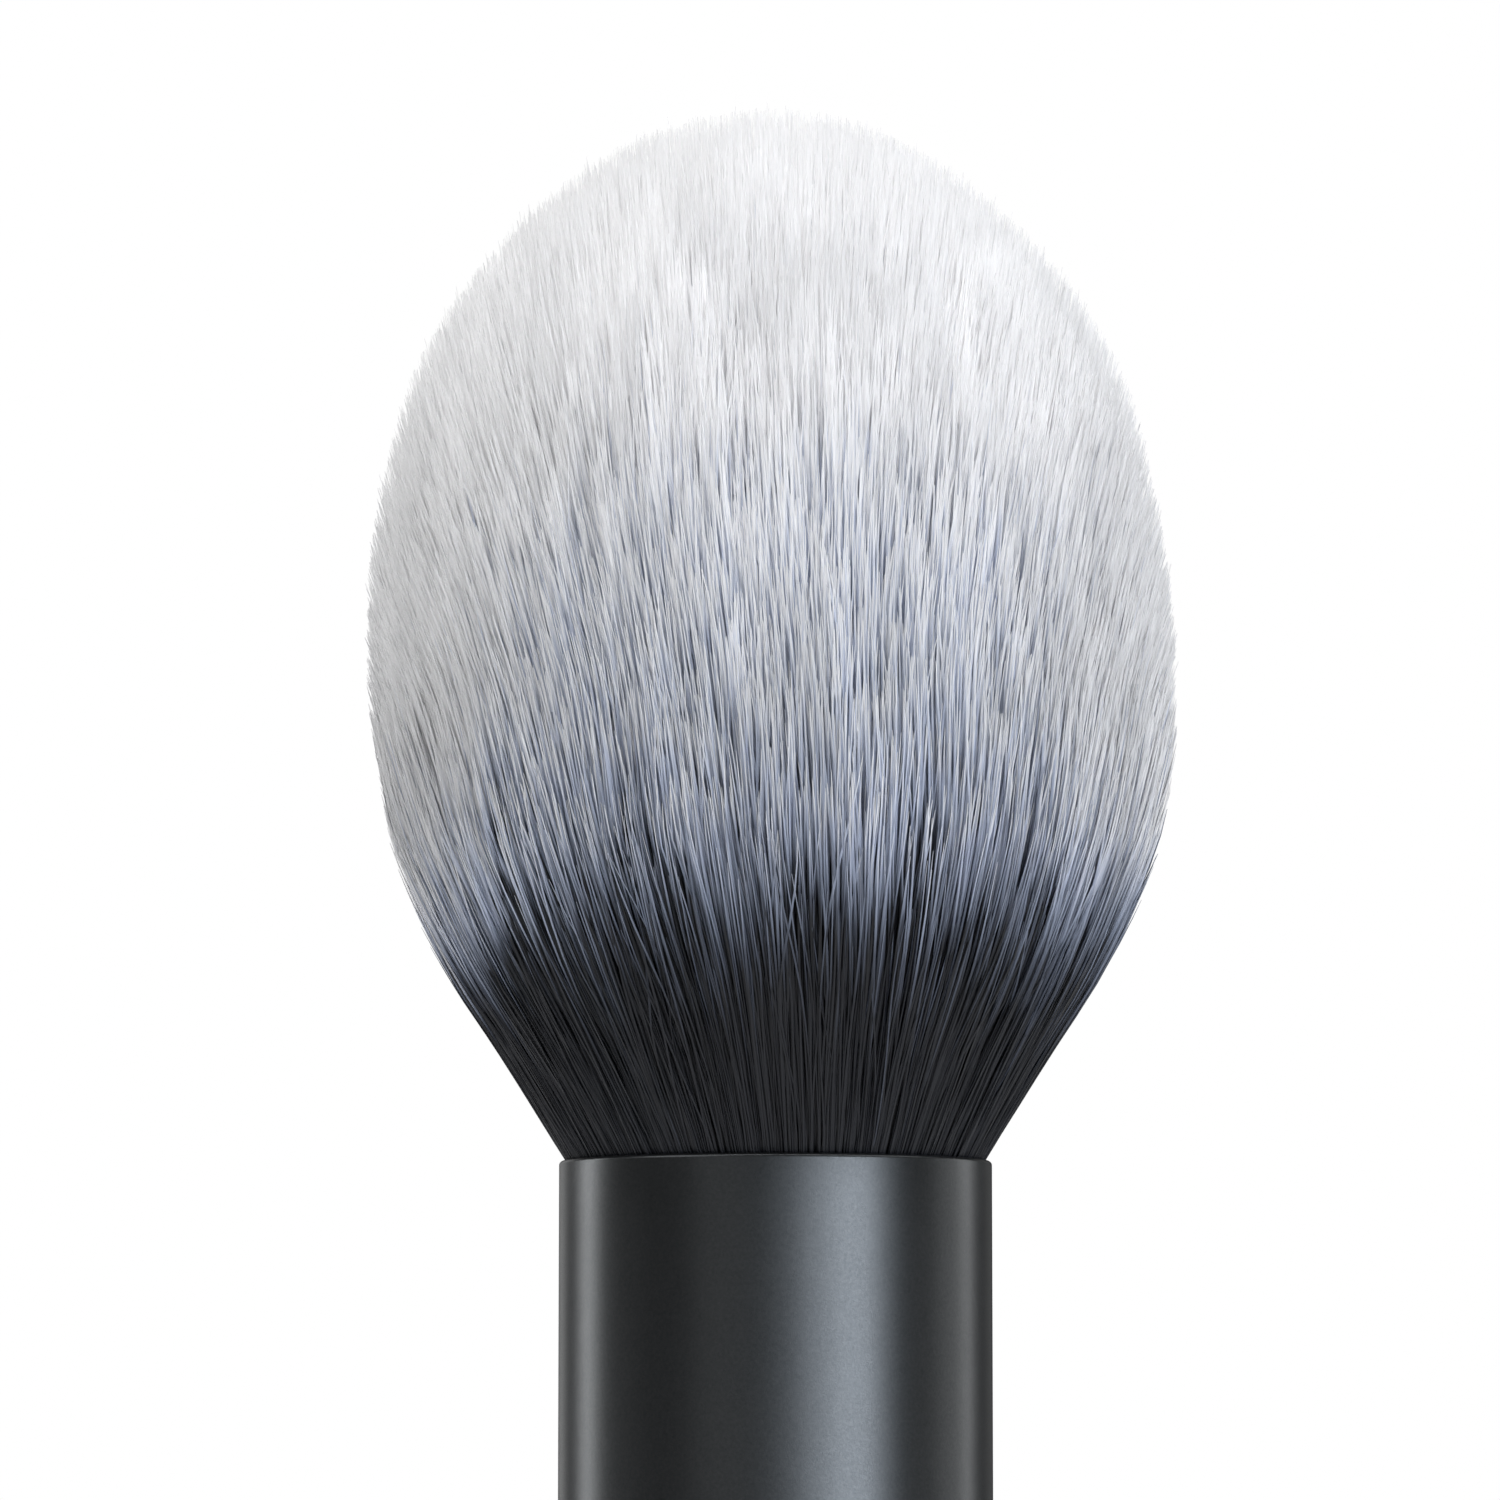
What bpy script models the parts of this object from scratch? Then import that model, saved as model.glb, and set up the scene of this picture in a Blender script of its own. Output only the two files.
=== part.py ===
"""Large round powder brush, standing on the flat end of its handle.

Units are metres. +Z runs up the brush axis, from the flat base of the handle to
the tip of the hair. The origin is the centre of the base.

From the base up: a moulded handle with a steel rod glued into a blind bore and
closed by an end plug; a thin drawn ferrule pushed over the handle's tenon, glued
and crimped; and a knot of hair, bound with thread and set in resin inside the
ferrule, that swells into an egg-shaped head above the mouth.
"""

import math

import bmesh
import bpy

MM = 0.001

# ---------------------------------------------------------------- dimensions
GAP = 0.30 * MM                  # clearance between neighbouring pieces
STEPS = 48                       # facets round a turned piece

# ferrule
MOUTH_Z = 119.7 * MM             # plane of the ferrule's mouth
FERRULE_LENGTH = 40.2 * MM
FERRULE_MOUTH_R = 10.38 * MM     # outside radius at the mouth
FERRULE_FOOT_R = 10.50 * MM      # outside radius at the lower end
FERRULE_WALL = 0.42 * MM
CRIMP_DEPTH = 0.42 * MM
CRIMP_HALF_WIDTH = 0.85 * MM
CRIMP_HEIGHTS = (3.6 * MM, 7.4 * MM)   # above the ferrule's lower end

# hair
EGG_R = 19.5 * MM                # largest radius of the head
EGG_HALF_HEIGHT = 26.3 * MM
EGG_CENTRE = 23.8 * MM           # above the mouth
FLANK_R = 10.1 * MM              # radius of the hair where it leaves the mouth
FLANK_SLOPE = 0.63               # how fast it widens just above the mouth
FLANK_BLEND = 0.9 * MM           # rounding between the cone and the egg
COLOUR_CHANGE = 10.0 * MM        # dark hair below, pale hair above
KNOT_R = 9.60 * MM
KNOT_LENGTH = 16.6 * MM          # hair held inside the ferrule
WAIST_R = 8.85 * MM              # under the binding thread
WAIST_LOW = 1.6 * MM             # above the knot's lower end
WAIST_HIGH = 4.4 * MM

# binding thread
THREAD_R = 0.20 * MM
THREAD_TURNS = 4
THREAD_PITCH = 0.50 * MM
THREAD_POINTS = 20               # per turn

# resin behind the knot
RESIN_LENGTH = 5.4 * MM
RESIN_DISH = 0.8 * MM            # depth of the meniscus on its lower side

# handle
HANDLE_TOP_R = 10.45 * MM
HANDLE_BASE_R = 9.30 * MM
BASE_ROUND = 1.3 * MM
TENON_R = 8.80 * MM
TENON_LENGTH = 16.0 * MM
TENON_CHAMFER = 0.8 * MM
SHOULDER_GROOVE_DROP = 3.0 * MM  # of the groove below the shoulder
SHOULDER_GROOVE_DEPTH = 0.35 * MM
SHOULDER_GROOVE_HALF = 0.55 * MM
BORE_R = 3.30 * MM
BORE_DEPTH = 58.0 * MM
SOCKET_R = 6.00 * MM             # counterbore for the end plug
SOCKET_DEPTH = 3.2 * MM

# pieces inside the handle
ROD_R = 3.00 * MM
ROD_LENGTH = 48.0 * MM
ROD_CHAMFER = 0.4 * MM
PLUG_HEAD_THICKNESS = 2.9 * MM
PLUG_SPIGOT_LENGTH = 3.0 * MM
PLUG_ROUND = 0.35 * MM

# ---------------------------------------------------------------- start clean
for old in list(bpy.data.objects):
    bpy.data.objects.remove(old, do_unlink=True)

scene = bpy.context.scene
brush = bpy.data.collections.new("makeup_brush")
scene.collection.children.link(brush)


# ---------------------------------------------------------------- helpers
def material(name, colour, roughness, metallic=0.0):
    """A plain Principled BSDF finish."""
    mat = bpy.data.materials.new(name)
    mat.use_nodes = True
    bsdf = mat.node_tree.nodes["Principled BSDF"]
    bsdf.inputs["Base Color"].default_value = (*colour, 1.0)
    bsdf.inputs["Roughness"].default_value = roughness
    bsdf.inputs["Metallic"].default_value = metallic
    return mat


def finish(obj, mat, sharp_degrees=32.0):
    """Turn the object's modifiers into its mesh, shade it and give it its material."""
    depsgraph = bpy.context.evaluated_depsgraph_get()
    mesh = bpy.data.meshes.new_from_object(obj.evaluated_get(depsgraph))
    mesh.name = obj.name
    raw = obj.data
    obj.modifiers.clear()
    obj.data = mesh
    bpy.data.meshes.remove(raw)
    mesh.shade_smooth()
    mesh.set_sharp_from_angle(angle=math.radians(sharp_degrees))
    mesh.materials.clear()
    mesh.materials.append(mat)
    return obj


def turned(name, profile, mat, closed=False, steps=STEPS):
    """Spin a profile of (radius, height) points round Z.

    The profile runs down the outer side, top to bottom. A closed profile makes a
    ring; an open one starts and ends on the axis.
    """
    mesh = bpy.data.meshes.new(name)
    bm = bmesh.new()
    verts = [bm.verts.new((r, 0.0, z)) for r, z in profile]
    for a, b in zip(verts, verts[1:]):
        bm.edges.new((a, b))
    if closed:
        bm.edges.new((verts[-1], verts[0]))
    bm.to_mesh(mesh)
    bm.free()
    obj = bpy.data.objects.new(name, mesh)
    brush.objects.link(obj)
    screw = obj.modifiers.new("Screw", "SCREW")
    screw.axis = "Z"
    screw.angle = math.tau
    screw.steps = steps
    screw.render_steps = steps
    screw.use_merge_vertices = True
    screw.merge_threshold = 0.000001
    return finish(obj, mat)


def smoothstep(t):
    t = min(1.0, max(0.0, t))
    return t * t * (3.0 - 2.0 * t)


def arc(centre_r, centre_z, radius, start, end, count):
    """Points on a circle in the profile plane, angles in degrees from +r."""
    points = []
    for i in range(count + 1):
        a = math.radians(start + (end - start) * i / count)
        points.append((centre_r + radius * math.cos(a), centre_z + radius * math.sin(a)))
    return points


# ---------------------------------------------------------------- shape rules
def hair_radius(h):
    """Radius of the head at height h above the mouth: a cone that runs into an egg."""
    t = (h - EGG_CENTRE) / EGG_HALF_HEIGHT
    egg = EGG_R * math.sqrt(max(0.0, 1.0 - t * t))
    if h >= EGG_CENTRE:
        return egg
    cone = FLANK_R + FLANK_SLOPE * h
    d = max(0.0, FLANK_BLEND - abs(cone - egg)) / FLANK_BLEND
    return min(cone, egg) - d * d * FLANK_BLEND / 4.0


def ferrule_radius(h):
    """Outside radius of the ferrule at height h above its lower end, with its crimps."""
    r = FERRULE_FOOT_R + (FERRULE_MOUTH_R - FERRULE_FOOT_R) * h / FERRULE_LENGTH
    for at in CRIMP_HEIGHTS:
        d = abs(h - at) / CRIMP_HALF_WIDTH
        if d < 1.0:
            r -= CRIMP_DEPTH * 0.5 * (1.0 + math.cos(math.pi * d))
    return r


def handle_radius(z):
    """Outside radius of the handle at height z, without its rounded base edge."""
    return HANDLE_BASE_R + (HANDLE_TOP_R - HANDLE_BASE_R) * smoothstep(z / SHOULDER_Z)


FERRULE_LOW_Z = MOUTH_Z - FERRULE_LENGTH
SHOULDER_Z = FERRULE_LOW_Z - GAP
TENON_TOP_Z = SHOULDER_Z + TENON_LENGTH
KNOT_LOW_Z = MOUTH_Z - KNOT_LENGTH
RESIN_TOP_Z = KNOT_LOW_Z - GAP
HAIR_TOP = EGG_CENTRE + EGG_HALF_HEIGHT

# ---------------------------------------------------------------- finishes
black_metal = material("ferrule_black_anodised", (0.016, 0.017, 0.019), 0.34, 0.85)
black_plastic = material("handle_black_satin", (0.011, 0.011, 0.012), 0.30)
plug_plastic = material("end_plug_black", (0.018, 0.018, 0.020), 0.55)
steel = material("rod_steel", (0.55, 0.55, 0.56), 0.38, 1.0)
resin = material("resin_amber", (0.58, 0.40, 0.16), 0.22)
glue = material("glue_grey", (0.62, 0.61, 0.56), 0.45)
thread = material("thread_waxed", (0.30, 0.28, 0.25), 0.70)
dark_hair = material("hair_dark", (0.014, 0.014, 0.018), 0.50)
pale_hair = material("hair_pale", (0.70, 0.72, 0.78), 0.55)

# ---------------------------------------------------------------- ferrule
half_wall = FERRULE_WALL / 2.0
heights = [FERRULE_LENGTH - half_wall, FERRULE_LENGTH * 0.62, FERRULE_LENGTH * 0.32]
for at in sorted(CRIMP_HEIGHTS, reverse=True):
    heights += [at + CRIMP_HALF_WIDTH * (1.0 - i / 3.0) for i in range(7)]
heights.append(0.0)

outer = arc(ferrule_radius(FERRULE_LENGTH) - half_wall, MOUTH_Z - half_wall, half_wall, 90, 0, 3)
outer += [(ferrule_radius(h), FERRULE_LOW_Z + h) for h in heights[1:]]
inner = [(ferrule_radius(h) - FERRULE_WALL, FERRULE_LOW_Z + h) for h in reversed(heights[1:])]
inner += arc(ferrule_radius(FERRULE_LENGTH) - half_wall, MOUTH_Z - half_wall, half_wall, 180, 120, 2)
turned("ferrule", outer + inner, black_metal, closed=True)

# ---------------------------------------------------------------- hair
# The head, above the change of colour.
head_low = COLOUR_CHANGE + GAP
profile = [(0.0, MOUTH_Z + HAIR_TOP)]
for i in range(1, 9):
    a = math.radians(90.0 * i / 8.0)
    profile.append((EGG_R * math.sin(a), MOUTH_Z + EGG_CENTRE + EGG_HALF_HEIGHT * math.cos(a)))
for i in range(1, 6):
    h = EGG_CENTRE + (head_low - EGG_CENTRE) * i / 5.0
    profile.append((hair_radius(h), MOUTH_Z + h))
profile.append((0.0, MOUTH_Z + head_low))
turned("tuft_head", profile, pale_hair)

# The dark neck between the mouth and the head, which bends when the brush is used.
profile = [(0.0, MOUTH_Z + COLOUR_CHANGE)]
for i in range(5):
    h = COLOUR_CHANGE + (GAP - COLOUR_CHANGE) * i / 4.0
    profile.append((hair_radius(h), MOUTH_Z + h))
profile.append((0.0, MOUTH_Z + GAP))
turned("tuft_neck", profile, dark_hair)

# The knot inside the ferrule, drawn in to a waist under its thread.
profile = [
    (0.0, MOUTH_Z),
    (KNOT_R, MOUTH_Z),
    (KNOT_R, KNOT_LOW_Z + WAIST_HIGH + 1.2 * MM),
    (WAIST_R, KNOT_LOW_Z + WAIST_HIGH),
    (WAIST_R, KNOT_LOW_Z + WAIST_LOW),
    (KNOT_R - 0.2 * MM, KNOT_LOW_Z + WAIST_LOW - 0.9 * MM),
    (KNOT_R - 0.4 * MM, KNOT_LOW_Z),
    (0.0, KNOT_LOW_Z),
]
turned("tuft_knot", profile, dark_hair)

# Waxed thread wound round the waist.
winding_r = WAIST_R + GAP + THREAD_R
winding_low = KNOT_LOW_Z + (WAIST_LOW + WAIST_HIGH - THREAD_TURNS * THREAD_PITCH) / 2.0
curve = bpy.data.curves.new("binding_thread", "CURVE")
curve.dimensions = "3D"
curve.bevel_depth = THREAD_R
curve.bevel_resolution = 1
curve.resolution_u = 1
curve.render_resolution_u = 0
curve.use_fill_caps = True
spline = curve.splines.new("POLY")
count = THREAD_TURNS * THREAD_POINTS + 1
spline.points.add(count - 1)
for i, point in enumerate(spline.points):
    a = math.tau * i / THREAD_POINTS
    z = winding_low + THREAD_PITCH * i / THREAD_POINTS
    point.co = (winding_r * math.cos(a), winding_r * math.sin(a), z, 1.0)
curve.materials.append(thread)
brush.objects.link(bpy.data.objects.new("binding_thread", curve))

# Resin that sets the butt ends of the hair.
resin_low = RESIN_TOP_Z - RESIN_LENGTH
profile = [(0.0, RESIN_TOP_Z), (KNOT_R, RESIN_TOP_Z), (KNOT_R, resin_low)]
for i in range(1, 6):
    s = i / 6.0
    profile.append((KNOT_R * (1.0 - s), resin_low + RESIN_DISH * smoothstep(s)))
profile.append((0.0, resin_low + RESIN_DISH))
turned("root_resin", profile, resin)

# ---------------------------------------------------------------- handle
groove_z = SHOULDER_Z - SHOULDER_GROOVE_DROP
profile = [
    (0.0, TENON_TOP_Z),
    (TENON_R - TENON_CHAMFER, TENON_TOP_Z),
    (TENON_R, TENON_TOP_Z - TENON_CHAMFER),
    (TENON_R, SHOULDER_Z),
]
profile += arc(HANDLE_TOP_R - 0.3 * MM, SHOULDER_Z - 0.3 * MM, 0.3 * MM, 90, 0, 3)
for i in range(-2, 3):
    z = groove_z - SHOULDER_GROOVE_HALF * i / 2.0
    depth = SHOULDER_GROOVE_DEPTH * 0.5 * (1.0 + math.cos(math.pi * i / 2.0))
    profile.append((handle_radius(z) - depth, z))
for i in range(1, 11):
    z = groove_z - SHOULDER_GROOVE_HALF
    z += (BASE_ROUND - z) * i / 10.0
    profile.append((handle_radius(z), z))
profile += arc(HANDLE_BASE_R - BASE_ROUND, BASE_ROUND, BASE_ROUND, 0, -90, 5)[1:]
profile += [
    (SOCKET_R, 0.0),
    (SOCKET_R, SOCKET_DEPTH),
    (BORE_R, SOCKET_DEPTH),
    (BORE_R, BORE_DEPTH),
    (0.0, BORE_DEPTH + 0.9 * MM),
]
turned("handle", profile, black_plastic)

# Glue between the tenon and the ferrule, above the crimps.
sleeve_low = FERRULE_LOW_Z + max(CRIMP_HEIGHTS) + CRIMP_HALF_WIDTH + GAP
sleeve_top = TENON_TOP_Z - TENON_CHAMFER
sleeve_in = TENON_R + GAP
sleeve_out = ferrule_radius(FERRULE_LENGTH) - FERRULE_WALL - GAP
profile = [
    (sleeve_out - 0.1 * MM, sleeve_top),
    (sleeve_out, sleeve_top - 0.2 * MM),
    (sleeve_out, sleeve_low),
    (sleeve_in, sleeve_low),
    (sleeve_in, sleeve_top),
]
turned("tenon_glue", profile, glue, closed=True)

# End plug: a disc flush with the base and a spigot in the bore.
plug_r = SOCKET_R - GAP
profile = [(0.0, PLUG_HEAD_THICKNESS + PLUG_SPIGOT_LENGTH)]
profile += [
    (BORE_R - GAP - 0.3 * MM, PLUG_HEAD_THICKNESS + PLUG_SPIGOT_LENGTH),
    (BORE_R - GAP, PLUG_HEAD_THICKNESS + PLUG_SPIGOT_LENGTH - 0.3 * MM),
    (BORE_R - GAP, PLUG_HEAD_THICKNESS),
    (plug_r, PLUG_HEAD_THICKNESS),
]
profile += arc(plug_r - PLUG_ROUND, PLUG_ROUND, PLUG_ROUND, 0, -90, 3)
profile.append((0.0, 0.0))
turned("end_plug", profile, plug_plastic)

# Steel rod that gives the handle its weight.
rod_low = PLUG_HEAD_THICKNESS + PLUG_SPIGOT_LENGTH + GAP
rod_top = rod_low + ROD_LENGTH
profile = [
    (0.0, rod_top),
    (ROD_R - ROD_CHAMFER, rod_top),
    (ROD_R, rod_top - ROD_CHAMFER),
    (ROD_R, rod_low + ROD_CHAMFER),
    (ROD_R - ROD_CHAMFER, rod_low),
    (0.0, rod_low),
]
turned("weight_rod", profile, steel, steps=32)

# Dab of glue between the rod and the blind end of its bore.
profile = [
    (0.0, BORE_DEPTH - GAP),
    (ROD_R - 0.5 * MM, BORE_DEPTH - GAP),
    (ROD_R, BORE_DEPTH - GAP - 0.5 * MM),
    (ROD_R, rod_top + GAP),
    (0.0, rod_top + GAP),
]
turned("rod_glue", profile, glue, steps=32)
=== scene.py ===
import math

import bmesh
import bpy
import numpy as np
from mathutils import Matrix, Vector


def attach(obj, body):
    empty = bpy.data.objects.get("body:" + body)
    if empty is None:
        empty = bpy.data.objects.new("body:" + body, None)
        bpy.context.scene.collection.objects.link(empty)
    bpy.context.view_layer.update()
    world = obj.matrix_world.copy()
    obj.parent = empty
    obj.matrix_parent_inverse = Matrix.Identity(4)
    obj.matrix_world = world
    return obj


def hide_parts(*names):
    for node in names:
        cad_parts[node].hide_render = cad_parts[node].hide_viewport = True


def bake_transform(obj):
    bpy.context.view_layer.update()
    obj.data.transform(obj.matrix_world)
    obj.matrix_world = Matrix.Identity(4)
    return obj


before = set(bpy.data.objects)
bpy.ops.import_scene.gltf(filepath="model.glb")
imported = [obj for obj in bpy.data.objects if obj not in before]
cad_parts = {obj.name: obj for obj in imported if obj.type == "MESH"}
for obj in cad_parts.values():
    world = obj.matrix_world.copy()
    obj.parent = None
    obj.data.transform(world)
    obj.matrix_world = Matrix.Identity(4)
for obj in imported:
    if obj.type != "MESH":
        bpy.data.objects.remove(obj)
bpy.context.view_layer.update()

MM = 0.001

# ---------------------------------------------------------------- sizes, as in the frame
MOUTH_Z = 119.7 * MM
FERRULE_LENGTH = 40.2 * MM
FERRULE_LOW_Z = MOUTH_Z - FERRULE_LENGTH
FERRULE_MOUTH_R = 10.38 * MM
FERRULE_FOOT_R = 10.50 * MM
FERRULE_WALL = 0.42 * MM
CRIMP_DEPTH = 0.42 * MM
CRIMP_HALF_WIDTH = 0.85 * MM
CRIMP_HEIGHTS = (3.6 * MM, 7.4 * MM)
GAP = 0.30 * MM
SHOULDER_Z = FERRULE_LOW_Z - GAP
HANDLE_TOP_R = 10.45 * MM
HANDLE_BASE_R = 9.30 * MM
BASE_ROUND = 1.3 * MM
TENON_R = 8.80 * MM
TENON_LENGTH = 16.0 * MM
SOCKET_R = 6.00 * MM
SOCKET_DEPTH = 3.2 * MM
BORE_R = 3.30 * MM
BORE_DEPTH = 58.0 * MM

# the head of hair, in millimetres above the mouth
EGG_R, EGG_HALF, EGG_MID = 19.42, 26.75, 24.0

HAIRS = 42000
SECTORS = 16
RINGS = 12
SOFT_NORMALS = True


# ---------------------------------------------------------------- node helpers
def new_material(name):
    mat = bpy.data.materials.new(name)
    mat.use_nodes = True
    nodes = mat.node_tree.nodes
    bsdf = nodes["Principled BSDF"]
    return mat, mat.node_tree, bsdf


def add(tree, kind, **settings):
    node = tree.nodes.new(kind)
    for key, value in settings.items():
        setattr(node, key, value)
    return node


def maths(tree, operation, a, b=None, clamp=False):
    node = add(tree, "ShaderNodeMath", operation=operation, use_clamp=clamp)
    for socket, value in zip(node.inputs, (a, b)):
        if value is None:
            continue
        if isinstance(value, (int, float)):
            socket.default_value = value
        else:
            tree.links.new(value, socket)
    return node.outputs[0]


def span(tree, value, low, high, to_low=0.0, to_high=1.0, smooth=True):
    node = add(tree, "ShaderNodeMapRange", interpolation_type="SMOOTHSTEP" if smooth else "LINEAR")
    node.clamp = True
    tree.links.new(value, node.inputs["Value"])
    node.inputs["From Min"].default_value = low
    node.inputs["From Max"].default_value = high
    node.inputs["To Min"].default_value = to_low
    node.inputs["To Max"].default_value = to_high
    return node.outputs["Result"]


def mix(tree, factor, a, b):
    node = add(tree, "ShaderNodeMix", data_type="RGBA")
    for socket, value in ((node.inputs[0], factor), (node.inputs[6], a), (node.inputs[7], b)):
        if isinstance(value, (int, float)):
            socket.default_value = value
        elif isinstance(value, tuple):
            socket.default_value = (*value, 1.0)
        else:
            tree.links.new(value, socket)
    return node.outputs[2]


def noise(tree, scale, detail=2.0, roughness=0.5, stretch=(1.0, 1.0, 1.0)):
    where = add(tree, "ShaderNodeTexCoord")
    move = add(tree, "ShaderNodeMapping")
    move.inputs["Scale"].default_value = stretch
    tree.links.new(where.outputs["Object"], move.inputs["Vector"])
    node = add(tree, "ShaderNodeTexNoise")
    node.inputs["Scale"].default_value = scale
    node.inputs["Detail"].default_value = detail
    node.inputs["Roughness"].default_value = roughness
    tree.links.new(move.outputs["Vector"], node.inputs["Vector"])
    return node.outputs["Fac"]


def bump(tree, bsdf, height, distance, strength=1.0):
    node = add(tree, "ShaderNodeBump")
    node.inputs["Strength"].default_value = strength
    node.inputs["Distance"].default_value = distance
    tree.links.new(height, node.inputs["Height"])
    tree.links.new(node.outputs["Normal"], bsdf.inputs["Normal"])


# ---------------------------------------------------------------- finishes
def hair_material():
    """Dip-dyed synthetic hair: blue-black roots, a blue-grey fade, near-white tips."""
    mat, tree, bsdf = new_material("dip_dyed_hair")

    def read(name):
        return add(tree, "ShaderNodeAttribute", attribute_name=name).outputs["Fac"]

    # the change of colour is the dye line, moved lower on the flanks and most on the left as painted glow
    above = read("above_dye")    # millimetres above this hair's own change of colour
    tip = read("to_tip")         # millimetres from its tip
    tone_and_painted_shade = read("tone_and_painted_shade")          # 0 to 1, one value a hair

    # along the hair: root, slate blue where the dye gives out, blue-grey, and paler towards the end
    ramp = add(tree, "ShaderNodeValToRGB")
    tree.links.new(span(tree, above, -4.0, 32.0, smooth=False), ramp.inputs["Fac"])
    stops = ramp.color_ramp.elements
    while len(stops) < 8:
        stops.new(0.5)
    for stop, (at, colour) in zip(stops, (
            (-1.1, (0.0108, 0.0120, 0.0168)), (0.1, (0.0780, 0.0900, 0.1250)), (1.3, (0.290, 0.328, 0.425)),
            (2.8, (0.522, 0.572, 0.715)), (6.5, (0.674, 0.724, 0.856)), (12.0, (0.792, 0.824, 0.908)),
            (19.0, (0.892, 0.896, 0.930)), (25.0, (0.946, 0.942, 0.954)))):
        stop.position = (at + 4.0) / 36.0
        stop.color = (*colour, 1.0)
    # tone scales the body and the tip colours: each lock's own brightness, with painted shade on the crown and on the
    # grey hairs painted as shadow slivers
    shade = mix(tree, tone_and_painted_shade, (0.60, 0.603, 0.61), (1.10, 1.098, 1.09))
    shade = mix(tree, span(tree, above, 12.0, 26.0, 0.0, 0.50), shade, (1.0, 1.0, 1.0))
    body = add(tree, "ShaderNodeMix", data_type="RGBA", blend_type="MULTIPLY")
    body.inputs[0].default_value = 1.0
    tree.links.new(ramp.outputs["Color"], body.inputs[6])
    tree.links.new(shade, body.inputs[7])
    tips = mix(tree, tone_and_painted_shade, (0.700, 0.699, 0.711), (0.985, 0.980, 0.988))
    white = maths(tree, "MULTIPLY", span(tree, tip, 5.0, 0.6), span(tree, above, 0.8, 5.0))
    colour = mix(tree, white, body.outputs[2], tips)
    tree.links.new(colour, bsdf.inputs["Base Color"])
    rough = span(tree, above, -2.0, 3.0, 0.50, 0.62)
    tree.links.new(rough, bsdf.inputs["Roughness"])
    bsdf.inputs["Specular IOR Level"].default_value = 0.38
    return mat


def black_metal():
    """Black anodised aluminium with a satin, very finely blasted surface."""
    mat, tree, bsdf = new_material("black_anodised_aluminium")
    cloud = noise(tree, 900.0, 3.0, 0.55)
    grain = noise(tree, 16000.0, 2.0, 0.6)
    speck = noise(tree, 6500.0, 3.0, 0.7)
    cool = mix(tree, cloud, (0.0640, 0.0685, 0.0720), (0.0800, 0.0848, 0.0888))
    colour = mix(tree, span(tree, speck, 0.30, 0.70, smooth=False), cool, (0.0930, 0.0968, 0.0995))
    tree.links.new(colour, bsdf.inputs["Base Color"])
    bsdf.inputs["Metallic"].default_value = 0.9
    tree.links.new(span(tree, grain, 0.3, 0.7, 0.275, 0.345), bsdf.inputs["Roughness"])
    bump(tree, bsdf, grain, 0.000006, 0.50)
    return mat


def black_lacquer():
    """Moulded handle with a satin soft-touch lacquer."""
    mat, tree, bsdf = new_material("black_satin_lacquer")
    cloud = noise(tree, 260.0, 4.0, 0.55)
    skin = noise(tree, 4200.0, 2.0, 0.5)
    colour = mix(tree, cloud, (0.0095, 0.0098, 0.0105), (0.0135, 0.0138, 0.0148))
    tree.links.new(colour, bsdf.inputs["Base Color"])
    tree.links.new(span(tree, cloud, 0.3, 0.7, 0.27, 0.33), bsdf.inputs["Roughness"])
    bsdf.inputs["Coat Weight"].default_value = 0.15
    bsdf.inputs["Coat Roughness"].default_value = 0.18
    bump(tree, bsdf, skin, 0.000008, 0.25)
    return mat


def plain_grained(name, low, high, roughness, metallic=0.0, scale=1500.0, depth=0.00002, stretch=(1, 1, 1)):
    mat, tree, bsdf = new_material(name)
    grain = noise(tree, scale, 3.0, 0.55, stretch)
    tree.links.new(mix(tree, grain, low, high), bsdf.inputs["Base Color"])
    bsdf.inputs["Metallic"].default_value = metallic
    tree.links.new(span(tree, grain, 0.3, 0.7, roughness - 0.05, roughness + 0.05), bsdf.inputs["Roughness"])
    bump(tree, bsdf, grain, depth, 0.5)
    return mat


HAIR = hair_material()
METAL = black_metal()
LACQUER = black_lacquer()
FINISH = {
    "end_plug": plain_grained("moulded_plug", (0.014, 0.014, 0.015), (0.022, 0.022, 0.023), 0.55, scale=3000.0),
    "weight_rod": plain_grained(
        "drawn_steel", (0.46, 0.46, 0.47), (0.60, 0.60, 0.61), 0.34, 1.0, 900.0, 0.000006, (1, 1, 0.05)),
    "root_resin": plain_grained("cast_resin", (0.50, 0.34, 0.13), (0.64, 0.46, 0.20), 0.22, scale=420.0),
    "tenon_glue": plain_grained("set_glue", (0.55, 0.54, 0.49), (0.68, 0.67, 0.62), 0.45, scale=700.0),
    "rod_glue": plain_grained("set_glue_end", (0.55, 0.54, 0.49), (0.68, 0.67, 0.62), 0.45, scale=700.0),
    "binding_thread": plain_grained(
        "waxed_thread", (0.22, 0.20, 0.18), (0.38, 0.36, 0.32), 0.70, scale=5200.0, depth=0.00004, stretch=(1, 1, 0.35)),
    "tuft_knot": plain_grained(
        "packed_hair_butts", (0.009, 0.009, 0.012), (0.030, 0.031, 0.040), 0.5, scale=9000.0, depth=0.00005,
        stretch=(1, 1, 0.03)),
}
for node, mat in FINISH.items():
    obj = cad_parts[node]
    obj = bpy.data.objects[obj] if isinstance(obj, str) else obj
    obj.data.materials.clear()
    obj.data.materials.append(mat)


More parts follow.
